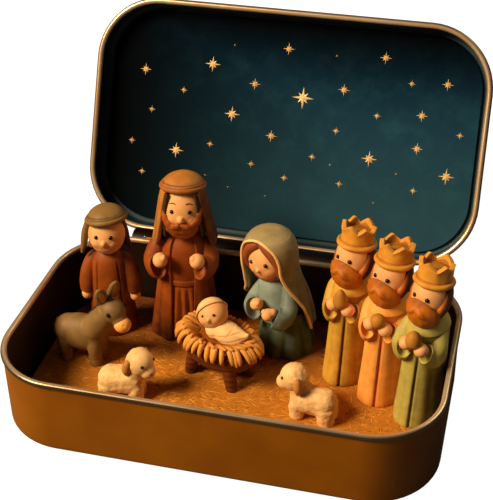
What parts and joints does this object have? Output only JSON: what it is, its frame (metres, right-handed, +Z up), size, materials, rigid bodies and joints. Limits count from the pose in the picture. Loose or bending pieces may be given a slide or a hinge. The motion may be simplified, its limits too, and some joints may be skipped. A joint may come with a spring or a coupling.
{
  "type": "nativity tin box",
  "caption": "Hinged pocket tin standing open, with a starry card in the lid and loose clay nativity figures on a straw-coloured mat.",
  "frame": {"origin": "centre of the tray's flat underside", "axes": "+X along the tin's long side to the viewer's right, +Y to the hinge at the back, +Z up"},
  "size_m": [0.0958, 0.0905, 0.0685],
  "materials": {
    "tin_bronze": "satin bronze lacquer",
    "hinge_wire": "bright drawn wire",
    "sky_card": "matt print of gold stars on mottled teal",
    "straw_mat": "short golden-brown fibre",
    "clay_skin": "matt clay",
    "clay_beard": "matt combed clay",
    "clay_brown": "matt clay",
    "clay_tan": "matt clay",
    "clay_olive": "matt clay",
    "clay_rust": "matt clay",
    "clay_blue": "matt clay",
    "clay_sage": "matt clay",
    "clay_auburn": "matt clay",
    "clay_ochre": "matt clay",
    "clay_coral": "matt clay",
    "clay_moss": "matt clay",
    "clay_gold": "matt golden clay",
    "clay_cream": "matt clay",
    "clay_straw": "matt clay",
    "clay_wood": "matt clay",
    "clay_taupe": "matt clay",
    "clay_peach": "matt clay",
    "clay_umber": "matt clay"
  },
  "bodies": {
    "tin_base": {"base_tray": "tin_bronze", "floor_mat": "straw_mat", "hinge_pin_left": "hinge_wire", "hinge_pin_right": "hinge_wire"},
    "lid": {"lid_shell": "tin_bronze", "sky_card": "sky_card"},
    "father": {"father_robe": "clay_brown", "father_head": "clay_skin", "father_beard": "clay_beard", "father_scarf": "clay_tan", "father_scarf_band": "clay_brown", "father_left_hand": "clay_skin", "father_right_hand": "clay_skin"},
    "shepherd": {"shepherd_tunic": "clay_rust", "shepherd_head": "clay_skin", "shepherd_scarf": "clay_olive", "shepherd_scarf_band": "clay_olive", "shepherd_left_hand": "clay_skin", "shepherd_right_hand": "clay_skin"},
    "mother": {"mother_robe": "clay_blue", "mother_head": "clay_skin", "mother_hair": "clay_auburn", "mother_veil": "clay_sage", "mother_left_hand": "clay_skin", "mother_right_hand": "clay_skin"},
    "manger": {"manger_crib": "clay_wood", "manger_straw": "clay_straw", "baby_head": "clay_skin", "baby_swaddle": "clay_cream", "baby_cap": "clay_cream"},
    "king_1": {"king_1_robe": "clay_ochre", "king_1_head": "clay_skin", "king_1_beard": "clay_beard", "king_1_crown": "clay_gold", "king_1_gift": "clay_gold", "king_1_left_hand": "clay_skin", "king_1_right_hand": "clay_skin"},
    "king_2": {"king_2_robe": "clay_coral", "king_2_head": "clay_skin", "king_2_beard": "clay_beard", "king_2_crown": "clay_gold", "king_2_gift": "clay_gold", "king_2_left_hand": "clay_skin", "king_2_right_hand": "clay_skin"},
    "king_3": {"king_3_robe": "clay_moss", "king_3_head": "clay_skin", "king_3_beard": "clay_beard", "king_3_crown": "clay_gold", "king_3_gift": "clay_gold", "king_3_left_hand": "clay_skin", "king_3_right_hand": "clay_skin"},
    "donkey": {"donkey_body": "clay_taupe", "donkey_muzzle": "clay_peach", "donkey_mane": "clay_umber"},
    "sheep_1": {"sheep_1_body": "clay_cream", "sheep_1_head": "clay_cream"},
    "sheep_2": {"sheep_2_body": "clay_cream", "sheep_2_head": "clay_cream"}
  },
  "joints": [
    {"name": "lid_hinge", "type": "hinge", "parent": "tin_base", "child": "lid", "pos_m": [0, 0.0301, 0.0166], "axis": [-1, 0, 0], "range_deg": [-55, 0]},
    {"name": "father_lift", "type": "slide", "parent": "tin_base", "child": "father", "axis": [0, 0, 1], "range_m": [0, 0.06]},
    {"name": "shepherd_lift", "type": "slide", "parent": "tin_base", "child": "shepherd", "axis": [0, 0, 1], "range_m": [0, 0.06]},
    {"name": "mother_lift", "type": "slide", "parent": "tin_base", "child": "mother", "axis": [0, 0, 1], "range_m": [0, 0.06]},
    {"name": "manger_lift", "type": "slide", "parent": "tin_base", "child": "manger", "axis": [0, 0, 1], "range_m": [0, 0.06]},
    {"name": "king_1_lift", "type": "slide", "parent": "tin_base", "child": "king_1", "axis": [0, 0, 1], "range_m": [0, 0.06]},
    {"name": "king_2_lift", "type": "slide", "parent": "tin_base", "child": "king_2", "axis": [0, 0, 1], "range_m": [0, 0.06]},
    {"name": "king_3_lift", "type": "slide", "parent": "tin_base", "child": "king_3", "axis": [0, 0, 1], "range_m": [0, 0.06]},
    {"name": "donkey_lift", "type": "slide", "parent": "tin_base", "child": "donkey", "axis": [0, 0, 1], "range_m": [0, 0.06]},
    {"name": "sheep_1_lift", "type": "slide", "parent": "tin_base", "child": "sheep_1", "axis": [0, 0, 1], "range_m": [0, 0.06]},
    {"name": "sheep_2_lift", "type": "slide", "parent": "tin_base", "child": "sheep_2", "axis": [0, 0, 1], "range_m": [0, 0.06]}
  ]
}
